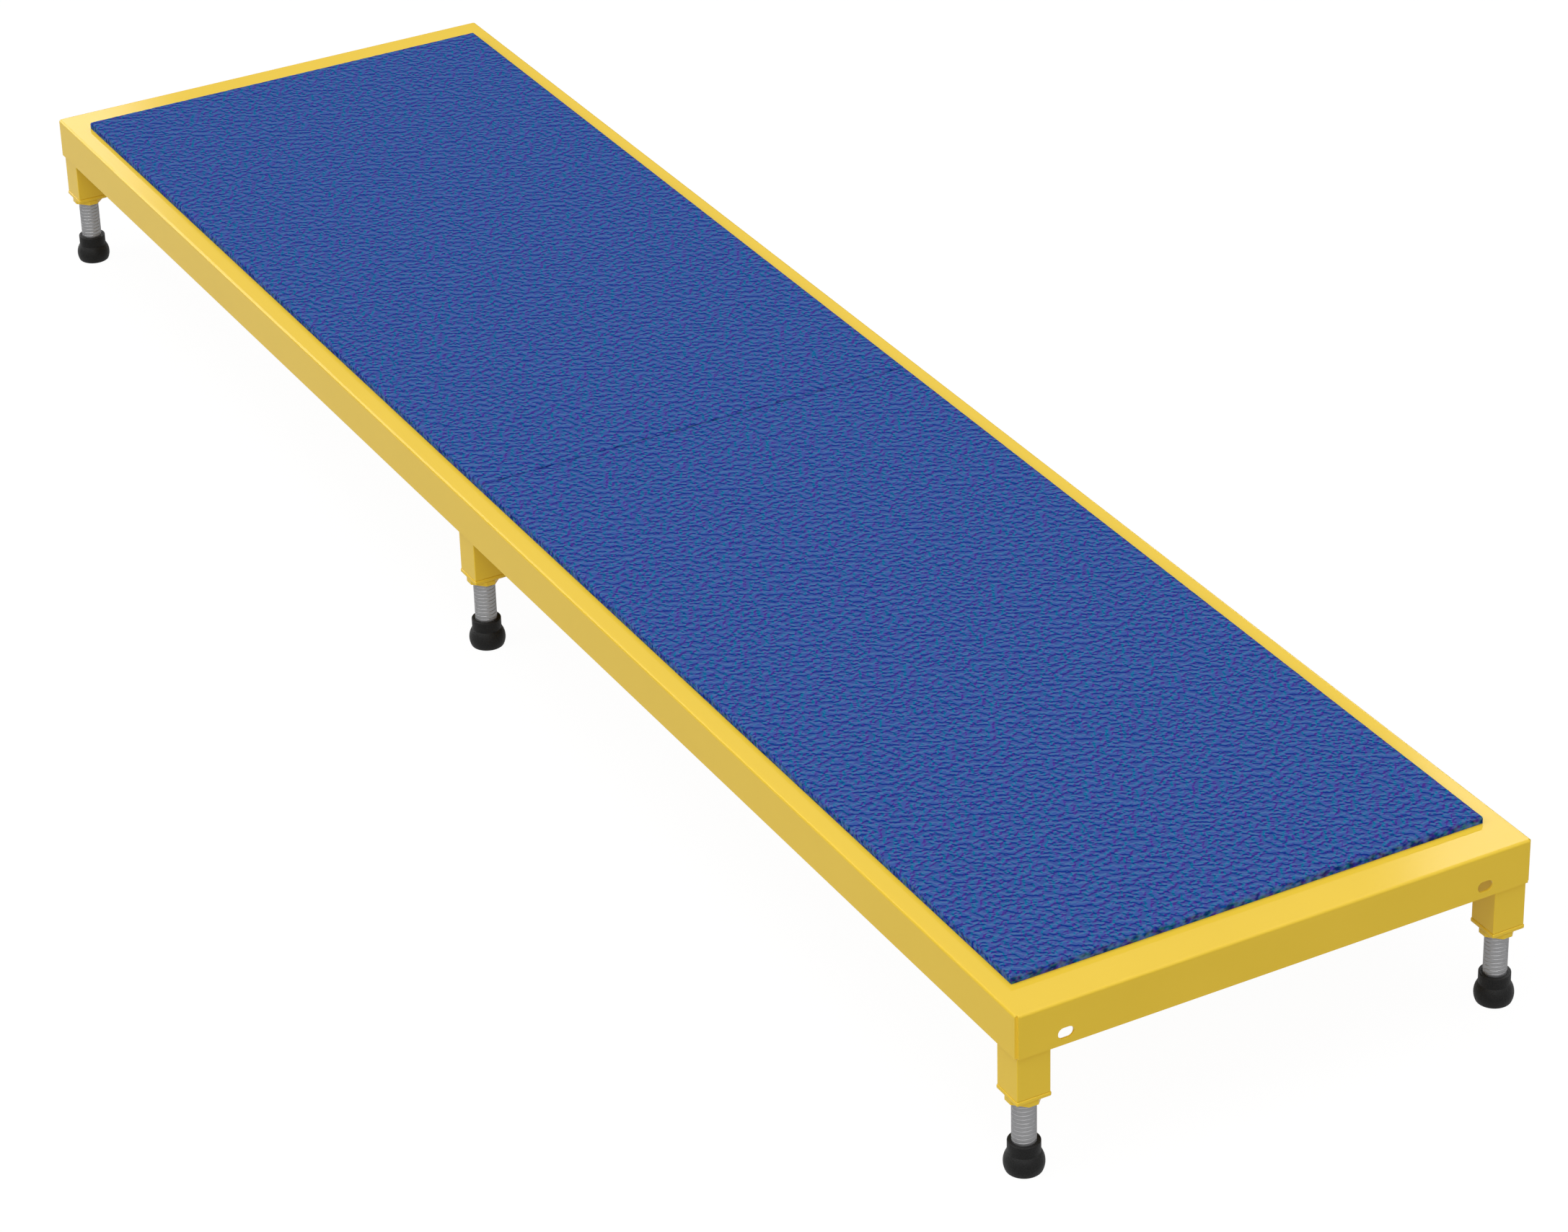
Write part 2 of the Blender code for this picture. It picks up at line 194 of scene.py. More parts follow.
# Studio
FLOOR_HALF = 30.0
FLOOR_GAP = 0.0002               # between the feet and the floor
FLOOR_SHADE = 0.60               # how pale the floor is as a light source
FLOOR_GLOW = 1.05
SHADOW_SHARE = 0.08              # how much of the floor that is seen is its own shading
FLOOR_FILL = 0.10                # even light that the floor gives the object, shadow or not
SKY_LIGHT = 0.20                 # even light on the object
ROOM_LIGHT = 3.1                 # what the gloss paint shows overhead, where there is no card
ROOM_DARK_BELOW = 0.277          # sine of the height at which the room has faded to black
ROOM_FULL_ABOVE = 0.76           # sine of the height at which it is at its brightest
CARD_SOFT = 0.4                  # how far a card's upright edges fade, in degrees
CARD_BLUR = 0.02                 # how far its top and bottom edges fade, in the height's sine
CARDS = (                        # right and left edges from +X, foot and top, in degrees; brightness
    (-20.4, 12.0, 19.0, 37.0, 4.9),
    (12.0, 33.0, 2.0, 37.0, 7.7),
    (-105.0, -36.5, 19.0, 38.0, 7.3),
    (55.0, 181.0, 19.0, 44.0, 3.0),
    (-181.0, -105.0, 19.0, 44.0, 3.0),
)
LAMPS = (                        # name, where the light comes from, spread in degrees, level
    ("front_left", (-0.70, 0.35, 0.62), 40, 0.246),
    ("left", (0.10, 0.75, 0.65), 40, 0.232),
    ("overhead", (0.0, 0.0, 1.0), 60, 0.458),
)

# Camera
LENS = 116.2944                  # in millimetres, as is the sensor's width
SENSOR_WIDTH = 36.0
SIDE_SHIFT = -0.07498
VIEW_END = 100.0
EYE = (-4.65044, 2.3751, 2.95962)
EYE_TURN = (59.98205, 0.80712, -120.09578)   # in degrees

ROWS = ("front", "middle", "rear")
SIDES = ("left", "right")
SMOOTH = 35                      # bends sharper than this stay sharp, in degrees, as for ROD_SMOOTH and so on
SAME_POINT = 1e-6                # points closer than this are one
SAME_HEIGHT = 1e-7               # an edge that rises less than this is level


# ---------------------------------------------------------------- helpers for meshes

def linked(name, mesh):
    piece = bpy.data.objects.new(name, mesh)
    bpy.context.scene.collection.objects.link(piece)
    return piece


def shade(mesh, angle=SMOOTH):
    """Smooth shading that keeps the real corners sharp."""
    mesh.shade_smooth()
    mesh.set_sharp_from_angle(angle=math.radians(angle))


def mesh_of(form, name):
    mesh = bpy.data.meshes.new(name)
    form.to_mesh(mesh)
    form.free()
    return mesh


def applied(piece):
    """Replace a piece's mesh by what its modifiers make of it."""
    depsgraph = bpy.context.evaluated_depsgraph_get()
    mesh = bpy.data.meshes.new_from_object(piece.evaluated_get(depsgraph), depsgraph=depsgraph)
    piece.modifiers.clear()
    piece.data = mesh


def finished(piece, body, slot, material, *nodes):
    """Give a piece its material and body, and hide the nodes that it stands for; its slot is not used."""
    piece.data.materials.clear()
    piece.data.materials.append(material)
    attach(piece, body)
    if nodes:
        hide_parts(*nodes)


def middle_of(low, high):
    """The middle of a box in plan, as a shift from the origin."""
    return (low.x + high.x) / 2, (low.y + high.y) / 2, 0


def placed(mesh, name, offset):
    """A copy of a mesh, moved to its place, as a new piece at the origin."""
    copy = mesh.copy()
    copy.transform(Matrix.Translation(offset))
    return linked(name, copy)


def arc(centre, radius, start, end, steps):
    """Points on an arc; angles in degrees from the first axis towards the second."""
    turns = [math.radians(start + (end - start) * step / steps) for step in range(steps + 1)]
    return [(centre[0] + radius * math.cos(turn), centre[1] + radius * math.sin(turn)) for turn in turns]


def rounded_square(width, corner, steps):
    """Outline of a square with round corners, counter-clockwise."""
    reach = width / 2 - corner
    points = []
    for quarter, (side_x, side_y) in enumerate(((1, 1), (-1, 1), (-1, -1), (1, -1))):
        centre = (side_x * reach, side_y * reach)
        points += arc(centre, corner, 90 * quarter, 90 * quarter + 90, steps)
    return points


def prism(outline, low, high):
    """Closed solid of an outline between two heights."""
    form = bmesh.new()
    base = form.faces.new([form.verts.new((x, y, low)) for x, y in outline])
    top = bmesh.ops.extrude_face_region(form, geom=[base])["geom"]
    verts = [part for part in top if isinstance(part, bmesh.types.BMVert)]
    bmesh.ops.translate(form, verts=verts, vec=(0, 0, high - low))
    bmesh.ops.recalc_face_normals(form, faces=form.faces)
    return form


def turned(profile, steps):
    """Closed solid of revolution from a half section that starts and ends on the axis."""
    form = bmesh.new()
    verts = [form.verts.new((reach, 0, up)) for reach, up in profile]
    edges = [form.edges.new(pair) for pair in zip(verts, verts[1:])]
    bmesh.ops.spin(form, geom=verts + edges, cent=(0, 0, 0), axis=(0, 0, 1), steps=steps,
                   angle=2 * math.pi, use_merge=True)
    bmesh.ops.remove_doubles(form, verts=form.verts, dist=SAME_POINT)
    bmesh.ops.recalc_face_normals(form, faces=form.faces)
    return form


def bored(piece, radius, low, high):
    """Cut a round bore through a piece along its axis."""
    form = bmesh.new()
    bmesh.ops.create_cone(form, cap_ends=True, segments=ROUND_STEPS, radius1=radius, radius2=radius,
                          depth=3 * (high - low))
    cutter = linked("bore_cutter", mesh_of(form, "bore_cutter"))
    cutter.location.z = (low + high) / 2
    boolean = piece.modifiers.new("bore", "BOOLEAN")
    boolean.operation = "DIFFERENCE"
    boolean.object = cutter
    applied(piece)
    bpy.data.objects.remove(cutter)


def softened(piece, width):
    """Round the sharp edges of a piece, as paint and a deburred edge do."""
    bevel = piece.modifiers.new("rounding", "BEVEL")
    bevel.width = width
    bevel.segments = ROUNDING_STEPS
    bevel.limit_method = "ANGLE"
    bevel.angle_limit = math.radians(ROUNDING_ANGLE)
    flat = piece.modifiers.new("flat_faces", "WEIGHTED_NORMAL")
    flat.keep_sharp = True
    flat.weight = 100
    return piece


# ---------------------------------------------------------------- helpers for node trees

def feed(tree, value, socket):
    """Connect a socket, or set it to a number."""
    if isinstance(value, bpy.types.NodeSocket):
        tree.links.new(value, socket)
    elif value is not None:
        socket.default_value = value


def calc(tree, operation, first, second=None, third=None, clamp=False):
    """One step of arithmetic on sockets or numbers."""
    node = tree.nodes.new("ShaderNodeMath")
    node.operation = operation
    node.use_clamp = clamp
    for socket, value in zip(node.inputs, (first, second, third)):
        feed(tree, value, socket)
    return node.outputs[0]


def remap(tree, value, from_low, from_high, to_low, to_high, kind="LINEAR"):
    """Carry a value from one range over to another, without leaving it."""
    node = tree.nodes.new("ShaderNodeMapRange")
    node.interpolation_type = kind
    for name, number in (("Value", value), ("From Min", from_low), ("From Max", from_high),
                         ("To Min", to_low), ("To Max", to_high)):
        feed(tree, number, node.inputs[name])
    return node.outputs[0]


def vector(tree, x, y, z):
    """Three sockets or numbers as one vector."""
    node = tree.nodes.new("ShaderNodeCombineXYZ")
    for socket, value in zip(node.inputs, (x, y, z)):
        feed(tree, value, socket)
    return node.outputs[0]


def parts_of(tree, source):
    """The three numbers in a vector or colour."""
    node = tree.nodes.new("ShaderNodeSeparateXYZ")
    tree.links.new(source, node.inputs[0])
    return node.outputs


def stretched(tree, place, factors):
    """A place with each of its coordinates multiplied by a factor of its own."""
    node = tree.nodes.new("ShaderNodeVectorMath")
    node.operation = "MULTIPLY"
    feed(tree, place, node.inputs[0])
    feed(tree, factors, node.inputs[1])
    return node.outputs[0]


def noise(tree, place, size, detail=2.0, roughness=0.5, output="Fac"):
    """Noise whose features are about `size` across."""
    node = tree.nodes.new("ShaderNodeTexNoise")
    tree.links.new(place, node.inputs["Vector"])
    node.inputs["Scale"].default_value = 1 / size
    node.inputs["Detail"].default_value = detail
    node.inputs["Roughness"].default_value = roughness
    return node.outputs[output]


def grain_height(tree, place):
    """Height of the mat's grain at a place in plan: 0 on its low flats, 1 on its high ones."""
    turn = math.radians(GRAIN_TURN)
    spot = parts_of(tree, place)
    along = calc(tree, "ADD", calc(tree, "MULTIPLY", spot[0], math.cos(turn)),
                 calc(tree, "MULTIPLY", spot[1], math.sin(turn)))
    aside = calc(tree, "SUBTRACT", calc(tree, "MULTIPLY", spot[1], math.cos(turn)),
                 calc(tree, "MULTIPLY", spot[0], math.sin(turn)))
    drawn = vector(tree, calc(tree, "DIVIDE", along, GRAIN_STRETCH), aside, 0)
    wave = noise(tree, drawn, GRAIN_CELL, GRAIN_DETAIL, GRAIN_FINENESS)
    return remap(tree, wave, 0.5 - CREASE_SHARE, 0.5 + CREASE_SHARE, 0, 1, "SMOOTHSTEP")


def tree_with(name, inputs):
    """A geometry node tree with named number inputs, a material input and a geometry output."""
    tree = bpy.data.node_groups.new(name, "GeometryNodeTree")
    tree.interface.new_socket("Geometry", in_out="INPUT", socket_type="NodeSocketGeometry")
    for label in inputs:
        tree.interface.new_socket(label, in_out="INPUT", socket_type="NodeSocketFloat")
    tree.interface.new_socket("Finish", in_out="INPUT", socket_type="NodeSocketMaterial")
    tree.interface.new_socket("Geometry", in_out="OUTPUT", socket_type="NodeSocketGeometry")
    return tree, tree.nodes.new("NodeGroupInput").outputs


def close_tree(tree, geometry, inputs):
    """End a tree in Realize Instances and Set Material."""
    real = tree.nodes.new("GeometryNodeRealizeInstances")
    coat = tree.nodes.new("GeometryNodeSetMaterial")
    out = tree.nodes.new("NodeGroupOutput")
    tree.links.new(geometry, real.inputs[0])
    tree.links.new(real.outputs[0], coat.inputs["Geometry"])
    tree.links.new(inputs["Finish"], coat.inputs["Material"])
    tree.links.new(coat.outputs[0], out.inputs[0])
    return tree


def grown(name, tree, values, base=None):
    """Run a tree on a base mesh with the given inputs and return the plain mesh that it makes."""
    holder = linked(name, base or bpy.data.meshes.new(name))
    maker = holder.modifiers.new("grown", "NODES")
    maker.node_group = tree
    for item in tree.interface.items_tree:
        if item.item_type == "SOCKET" and item.in_out == "INPUT" and item.name in values:
            maker[item.identifier] = values[item.name]
    depsgraph = bpy.context.evaluated_depsgraph_get()
    mesh = bpy.data.meshes.new_from_object(holder.evaluated_get(depsgraph), depsgraph=depsgraph)
    bpy.data.objects.remove(holder)
    mesh.name = name
    return mesh


# ---------------------------------------------------------------- node trees

def moved_to(tree, geometry, position):
    node = tree.nodes.new("GeometryNodeSetPosition")
    tree.links.new(geometry, node.inputs["Geometry"])
    tree.links.new(position, node.inputs["Position"])
    return node.outputs[0]


def welded_shut(tree, geometry, distance):
    node = tree.nodes.new("GeometryNodeMergeByDistance")
    tree.links.new(geometry, node.inputs["Geometry"])
    node.inputs["Distance"].default_value = distance
    return node.outputs[0]


def thread_tree(length):
    """Right-hand threaded rod along Z from 0: a sheared grid rolled round, so each row follows the helix."""
    tree, given = tree_with("threaded_rod", ("Radius", "Pitch", "Depth", "Length", "Chamfer"))
    turns = math.ceil(length / THREAD_PITCH) + SPARE_TURNS
    grid = tree.nodes.new("GeometryNodeMeshGrid")
    grid.inputs["Size X"].default_value = 1
    grid.inputs["Size Y"].default_value = 1
    grid.inputs["Vertices X"].default_value = THREAD_STEPS + 1
    grid.inputs["Vertices Y"].default_value = turns * THREAD_ROWS + 1
    spot = parts_of(tree, tree.nodes.new("GeometryNodeInputPosition").outputs[0])
    around = calc(tree, "ADD", spot[0], 0.5)
    along = calc(tree, "MULTIPLY", calc(tree, "ADD", spot[1], 0.5), turns)
    nudged = calc(tree, "ADD", along, ROW_NUDGE)
    row = calc(tree, "FRACT", nudged)
    whole = calc(tree, "SUBTRACT", nudged, row)
    crest_rows = CREST_ROWS / THREAD_ROWS
    on_crest = remap(tree, row, 0, crest_rows, 0, CREST_SHARE)
    in_groove = remap(tree, row, crest_rows, 1, 0, 1 - CREST_SHARE)
    phase = calc(tree, "ADD", on_crest, in_groove)
    rise = calc(tree, "ADD", calc(tree, "ADD", whole, phase), calc(tree, "SUBTRACT", around, TURNS_BELOW))
    height = calc(tree, "MULTIPLY", rise, given["Pitch"])
    across = remap(tree, row, crest_rows, 1, -1, 1)
    groove = calc(tree, "SUBTRACT", 1, calc(tree, "ABSOLUTE", across), clamp=True)
    cut_in = calc(tree, "MULTIPLY", given["Depth"], -1)
    plain = calc(tree, "MULTIPLY_ADD", groove, cut_in, given["Radius"])
    inside = calc(tree, "MINIMUM", height, calc(tree, "SUBTRACT", given["Length"], height))
    end = calc(tree, "MAXIMUM", inside, 0)
    shoulder = calc(tree, "ADD", calc(tree, "SUBTRACT", given["Radius"], given["Chamfer"]), end)
    radius = calc(tree, "MINIMUM", plain, shoulder)
    past = calc(tree, "DIVIDE", calc(tree, "MULTIPLY", inside, -1), given["Pitch"], clamp=True)
    radius = calc(tree, "MULTIPLY", radius, calc(tree, "SUBTRACT", 1, past))
    height = calc(tree, "MINIMUM", calc(tree, "MAXIMUM", height, 0), given["Length"])
    angle = calc(tree, "MULTIPLY", around, 2 * math.pi)
    x = calc(tree, "MULTIPLY", radius, calc(tree, "COSINE", angle))
    y = calc(tree, "MULTIPLY", radius, calc(tree, "SINE", angle))
    rolled = moved_to(tree, grid.outputs["Mesh"], vector(tree, x, y, height))
    return close_tree(tree, welded_shut(tree, rolled, THREAD_MERGE), given)


def mat_tree(length, width):
    """Slab with rounded top rims and sharp plan corners, its top pressed with the grain. Centred in plan."""
    tree, given = tree_with("pebbled_mat", ("Length", "Width", "Low", "High", "Rim", "Relief"))
    grid = tree.nodes.new("GeometryNodeMeshGrid")
    rows = {}
    for axis, label, size in (("X", "Length", length), ("Y", "Width", width)):
        rows[label] = round(size / MAT_STEP)
        grid.inputs["Size " + axis].default_value = rows[label] + 2 * MAT_RIM_STEPS
        grid.inputs["Vertices " + axis].default_value = rows[label] + 2 * MAT_RIM_STEPS + 1
    spot = parts_of(tree, tree.nodes.new("GeometryNodeInputPosition").outputs[0])
    outs, drops = [], []
    for source, label in ((spot[0], "Length"), (spot[1], "Width")):
        half = rows[label] / 2
        flat_half = calc(tree, "SUBTRACT", calc(tree, "MULTIPLY", given[label], 0.5), given["Rim"])
        reach = calc(tree, "ABSOLUTE", source)
        step = calc(tree, "DIVIDE", flat_half, half)
        inner = calc(tree, "MULTIPLY", calc(tree, "MINIMUM", reach, half), step)
        fold = calc(tree, "MAXIMUM", calc(tree, "SUBTRACT", reach, half), 0)
        bent = calc(tree, "MINIMUM", fold, MAT_RIM_STEPS - 1)
        turn = calc(tree, "MULTIPLY", bent, math.pi / 2 / (MAT_RIM_STEPS - 1))
        beyond = calc(tree, "MULTIPLY_ADD", calc(tree, "SINE", turn), given["Rim"], inner)
        outs.append(calc(tree, "MULTIPLY", beyond, calc(tree, "SIGN", source)))
        curl = calc(tree, "MULTIPLY", calc(tree, "SUBTRACT", 1, calc(tree, "COSINE", turn)), given["Rim"])
        last = calc(tree, "SUBTRACT", fold, MAT_RIM_STEPS - 1, clamp=True)
        side = calc(tree, "SUBTRACT", calc(tree, "SUBTRACT", given["High"], given["Low"]), given["Rim"])
        drops.append(calc(tree, "MULTIPLY_ADD", last, side, curl))
    drop = calc(tree, "MAXIMUM", *drops)
    plan = vector(tree, outs[0], outs[1], 0)
    pressed = calc(tree, "SUBTRACT", 1, grain_height(tree, plan), clamp=True)
    relief = calc(tree, "MULTIPLY", pressed, given["Relief"])
    fade = remap(tree, drop, 0, MAT_EDGE_RADIUS, 1, 0)
    sunk = calc(tree, "MULTIPLY_ADD", relief, fade, drop)
    top = calc(tree, "SUBTRACT", given["High"], sunk)
    shaped = moved_to(tree, grid.outputs["Mesh"], vector(tree, outs[0], outs[1], top))
    return close_tree(tree, shaped, given)


def weld_tree():
    """Bead along the base mesh's edges: a round section whose radius ripples along its length."""
    tree, given = tree_with("weld_bead", ("Radius", "Ripple", "Swell"))
    path = tree.nodes.new("GeometryNodeMeshToCurve")
    tree.links.new(given["Geometry"], path.inputs["Mesh"])
    even = tree.nodes.new("GeometryNodeResampleCurve")
    even.mode = "LENGTH"
    tree.links.new(path.outputs[0], even.inputs["Curve"])
    tree.links.new(calc(tree, "MULTIPLY", given["Ripple"], RIPPLE_STEP), even.inputs["Length"])
    where = tree.nodes.new("GeometryNodeSplineParameter")
    phase = calc(tree, "FRACT", calc(tree, "DIVIDE", where.outputs["Length"], given["Ripple"]))
    wave = calc(tree, "SINE", calc(tree, "MULTIPLY", phase, math.pi))
    bulge = calc(tree, "MULTIPLY", wave, given["Swell"])
    share = calc(tree, "ADD", bulge, calc(tree, "SUBTRACT", 1, given["Swell"]))
    scale = calc(tree, "MULTIPLY", share, given["Radius"])
    section = tree.nodes.new("GeometryNodeCurvePrimitiveCircle")
    section.inputs["Resolution"].default_value = BEAD_SIDES
    section.inputs["Radius"].default_value = 1
    sweep = tree.nodes.new("GeometryNodeCurveToMesh")
    tree.links.new(even.outputs[0], sweep.inputs["Curve"])
    tree.links.new(section.outputs[0], sweep.inputs["Profile Curve"])
    tree.links.new(scale, sweep.inputs["Scale"])
    sweep.inputs["Fill Caps"].default_value = True
    return close_tree(tree, sweep.outputs[0], given)


# ---------------------------------------------------------------- materials

def new_material(name):
    """A material with a Principled shader; returns it with its tree, shader and object coordinates."""
    material = bpy.data.materials.new(name)
    material.use_nodes = True
    tree = material.node_tree
    place = tree.nodes.new("ShaderNodeTexCoord").outputs["Object"]
    return material, tree, tree.nodes["Principled BSDF"], place


def tint(tree, value, span, tones):
    """Colour that goes from the first tone to the last as a value crosses a span."""
    node = tree.nodes.new("ShaderNodeValToRGB")
    for element, position, tone in zip(node.color_ramp.elements, span, tones):
        element.position = position
        element.color = (*tone, 1)
    tree.links.new(value, node.inputs[0])
    return node.outputs[0]


def bumped(tree, shader, height, distance, strength):
    node = tree.nodes.new("ShaderNodeBump")
    node.inputs["Strength"].default_value = strength
    node.inputs["Distance"].default_value = distance
    tree.links.new(height, node.inputs["Height"])
    tree.links.new(node.outputs[0], shader.inputs["Normal"])


def powder_coat():
    """Glossy yellow powder coat."""
    material, tree, shader, place = new_material("yellow_powder_coat")
    colour = tint(tree, noise(tree, place, PAINT_CLOUD, CLOUD_DETAIL), TONE_SPAN, PAINT_TONES)
    tree.links.new(colour, shader.inputs["Base Color"])
    roughness = remap(tree, noise(tree, place, PAINT_RIPPLE), *TONE_SPAN, *PAINT_ROUGHNESS)
    tree.links.new(roughness, shader.inputs["Roughness"])
    shader.inputs["Specular IOR Level"].default_value = PAINT_GLOSS
    return material


def two_sided(tree, slope, low, level, high):
    """`level` on the flat, `low` on a full slope one way and `high` on a full slope the other way."""
    fall = remap(tree, slope, -1, 0, low, level)
    rise = remap(tree, slope, 0, 1, 0, high - level)
    return calc(tree, "ADD", fall, rise)


def unfolded(tree, place, high):
    """Plan coordinates carried on down the sides, as if each side were folded out level with the top."""
    spot = parts_of(tree, place)
    facing = parts_of(tree, tree.nodes.new("ShaderNodeNewGeometry").outputs["True Normal"])
    below = calc(tree, "SUBTRACT", high, spot[2])
    return [calc(tree, "MULTIPLY_ADD", facing[axis], below, spot[axis]) for axis in (0, 1)]


def pebbled_mat():
    """Blue mat: its grain's walls carry painted shading by the way they face, violet one way and teal the
    other; painted shade darkens its low flats, its steep walls and the gap where the mats meet; its cut sides
    are mottled.
    """
    material, tree, shader, place = new_material("blue_pebbled_mat")
    spot = unfolded(tree, place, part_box("front_mat")[1].z)
    heights = []
    for shift_x, shift_y in ((0, 0), (GRAIN_FEEL, 0), (0, GRAIN_FEEL)):
        x = calc(tree, "ADD", spot[0], shift_x)
        y = calc(tree, "ADD", spot[1], shift_y)
        heights.append(grain_height(tree, vector(tree, x, y, 0)))
    patch = remap(tree, noise(tree, place, GRAIN_PATCH, PATCH_DETAIL), *NOISE_SPAN, *PATCH_GAIN)
    gain = calc(tree, "MULTIPLY", patch, GRAIN_SLOPE / GRAIN_FEEL)
    slope_x = calc(tree, "MULTIPLY", calc(tree, "SUBTRACT", heights[0], heights[1]), gain)
    slope_y = calc(tree, "MULTIPLY", calc(tree, "SUBTRACT", heights[0], heights[2]), gain)
    # painted shade: the grain's low flats are darker than its high ones
    shaded = remap(tree, heights[0], 0, 1, LOW_SHADE, 1)
    steep = calc(tree, "SQRT", calc(tree, "MULTIPLY_ADD", slope_x, slope_x,
                                    calc(tree, "MULTIPLY", slope_y, slope_y)))
    # painted shading: each crease wall's colour and brightness follow the way it faces
    channels = []
    for share_x, share_y, low, level, high in GRAIN_SHADING_TINTS:
        slope = calc(tree, "ADD", calc(tree, "MULTIPLY", slope_x, share_x),
                     calc(tree, "MULTIPLY", slope_y, share_y))
        channels.append(calc(tree, "MULTIPLY", two_sided(tree, slope, low, level, high), shaded))
    # painted shade: steep walls keep less of their blue
    channels[2] = calc(tree, "MULTIPLY", channels[2], remap(tree, steep, 0, STEEP, 1, STEEP_WALL_SHADE))
    # the line where the mats meet, in patches: it takes the cut sides' mottled colour and painted shade of
    # the gap
    off_join = calc(tree, "ABSOLUTE", parts_of(tree, place)[0])
    join = calc(tree, "MULTIPLY", remap(tree, off_join, JOIN_REACH / 2, JOIN_REACH, 1, 0),
                remap(tree, noise(tree, place, JOIN_PATCH), *JOIN_SPAN, 0, 1))
    normal = tree.nodes.new("ShaderNodeNewGeometry").outputs["True Normal"]
    side = remap(tree, parts_of(tree, normal)[2], *SIDE_TILT, 1, 0)
    cut = calc(tree, "MAXIMUM", side, join)
    long_place = stretched(tree, place, (1, BLOTCH_SHORTEN, 1))
    mottle = parts_of(tree, noise(tree, long_place, BLOTCH, BLOTCH_DETAIL, output="Color"))
    for index, (dark, light) in enumerate(SIDE_TINTS):
        shared = calc(tree, "ADD", mottle[index], mottle[(index + 1) % 3])
        blotch = remap(tree, shared, *BLOTCH_SPAN, dark, light)
        plain = calc(tree, "MULTIPLY", channels[index], calc(tree, "SUBTRACT", 1, cut))
        mixed = calc(tree, "MULTIPLY_ADD", blotch, cut, plain)
        # painted shade of the gap where the mats meet darkens the join line
        channels[index] = calc(tree, "MULTIPLY", mixed, remap(tree, join, 0, 1, 1, JOIN_SHADE))
    colour = tree.nodes.new("ShaderNodeCombineColor")
    for socket, value in zip(colour.inputs, channels):
        tree.links.new(value, socket)
    tree.links.new(colour.outputs[0], shader.inputs["Base Color"])
    tree.links.new(remap(tree, heights[0], 0, 1, *MAT_ROUGHNESS), shader.inputs["Roughness"])
    shader.inputs["Specular IOR Level"].default_value = 0.0
    bumped(tree, shader, heights[0], GRAIN_DEPTH, MAT_BUMP)
    return material


def rolled_steel():
    """Zinc-plated rod, lightly brushed round its axis."""
    material, tree, shader, place = new_material("zinc_plated_rod")
    brushing = noise(tree, stretched(tree, place, (1, 1, STEEL_STRETCH)), STEEL_BRUSHING, BRUSHING_DETAIL)
    tree.links.new(tint(tree, brushing, TONE_SPAN, STEEL_TONES), shader.inputs["Base Color"])
    tree.links.new(remap(tree, brushing, *TONE_SPAN, *STEEL_ROUGHNESS), shader.inputs["Roughness"])
    shader.inputs["Metallic"].default_value = STEEL_METAL
    shader.inputs["Specular Tint"].default_value = (STEEL_GRAZING, STEEL_GRAZING, STEEL_GRAZING, 1)
    bumped(tree, shader, brushing, STEEL_SCRATCH, STEEL_BUMP)
    return material


def pebbled_rubber():
    """Black moulded rubber with a fine pebbled skin."""
    material, tree, shader, place = new_material("black_rubber")
    speck = noise(tree, place, RUBBER_SPECK, SPECK_DETAIL, SPECK_FINENESS)
    tree.links.new(tint(tree, speck, RUBBER_SPAN, RUBBER_TONES), shader.inputs["Base Color"])
    tree.links.new(remap(tree, speck, *TONE_SPAN, *RUBBER_ROUGHNESS), shader.inputs["Roughness"])
    shader.inputs["Specular IOR Level"].default_value = RUBBER_GLOSS
    bumped(tree, shader, speck, RUBBER_PEBBLE, 1.0)
    return material


# ---------------------------------------------------------------- deck

def fold_down(form, edge, outward, depth):
    """Carry one edge of the deck's top face round the bend and down to the flange's lower edge."""
    turns = [math.radians(90 * step / BEND_STEPS) for step in range(BEND_STEPS + 1)]
    path = [(BEND_OUTSIDE * math.sin(turn), BEND_OUTSIDE * (math.cos(turn) - 1)) for turn in turns]
    path.append((BEND_OUTSIDE, -depth))
    for (out, up), (next_out, next_up) in zip(path, path[1:]):
        made = bmesh.ops.extrude_edge_only(form, edges=[edge])["geom"]
        verts = [part for part in made if isinstance(part, bmesh.types.BMVert)]
        shift = outward * (next_out - out)
        bmesh.ops.translate(form, verts=verts, vec=(shift.x, shift.y, next_up - up))
        edges = [part for part in made if isinstance(part, bmesh.types.BMEdge)]
        edge = next(part for part in edges if set(part.verts) == set(verts))


def slot_cutter(place):
    """A round-ended bar across the end flange, to cut one slot with."""
    form = bmesh.new()
    bmesh.ops.create_cone(form, cap_ends=True, segments=SLOT_STEPS, radius1=SLOT_HEIGHT / 2,
                          radius2=SLOT_HEIGHT / 2, depth=4 * SHEET)
    bmesh.ops.rotate(form, verts=form.verts, matrix=Matrix.Rotation(math.pi / 2, 3, "Y"))
    bmesh.ops.rotate(form, verts=form.verts, matrix=Matrix.Rotation(math.pi / SLOT_STEPS, 3, "X"))
    for vert in form.verts:
        vert.co.y += math.copysign((SLOT_LENGTH - SLOT_HEIGHT) / 2, vert.co.y)
    cutter = linked("slot_cutter", mesh_of(form, "slot_cutter"))
    cutter.location = place
    return cutter


